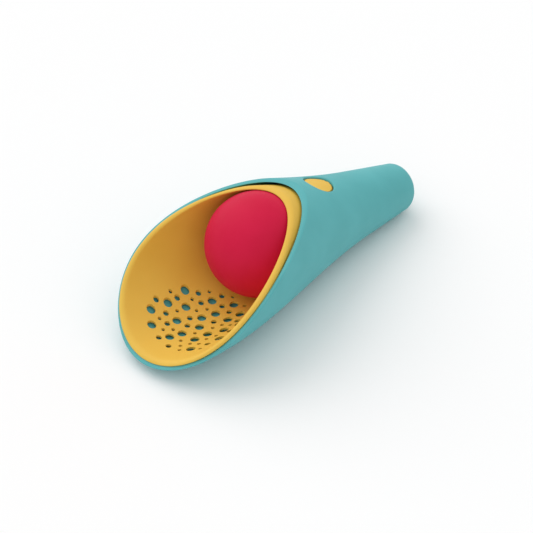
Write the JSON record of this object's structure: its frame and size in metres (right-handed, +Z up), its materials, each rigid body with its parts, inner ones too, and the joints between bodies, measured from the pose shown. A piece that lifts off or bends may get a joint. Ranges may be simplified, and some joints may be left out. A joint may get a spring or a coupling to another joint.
{
  "type": "toy sand scoop with sieve and ball",
  "caption": "Hand-held sand toy: a flared scoop on a round tapered handle, with a nested sieve bowl that slides out and a hollow ball resting in its throat.",
  "frame": {"origin": "centre of the bounding box on the floor that the toy lies on", "axes": "+X from the mouth towards the handle's end, +Y across the toy, +Z up"},
  "size_m": [0.2088, 0.0912, 0.0659],
  "materials": {
    "scoop_plastic": "moulded, fine matte",
    "sieve_plastic": "moulded, fine matte",
    "ball_rubber": "moulded, soft matte"
  },
  "bodies": {
    "scoop": {"scoop": "scoop_plastic"},
    "sieve": {"sieve": "sieve_plastic"},
    "ball": {"ball": "ball_rubber"}
  },
  "joints": [
    {"name": "sieve_slide", "type": "slide", "parent": "scoop", "child": "sieve", "axis": [-0.98, 0, 0.1988], "range_m": [0, 0.16]},
    {"name": "ball_slide", "type": "slide", "parent": "sieve", "child": "ball", "axis": [-0.98, 0, 0.1988], "range_m": [0, 0.12]}
  ]
}
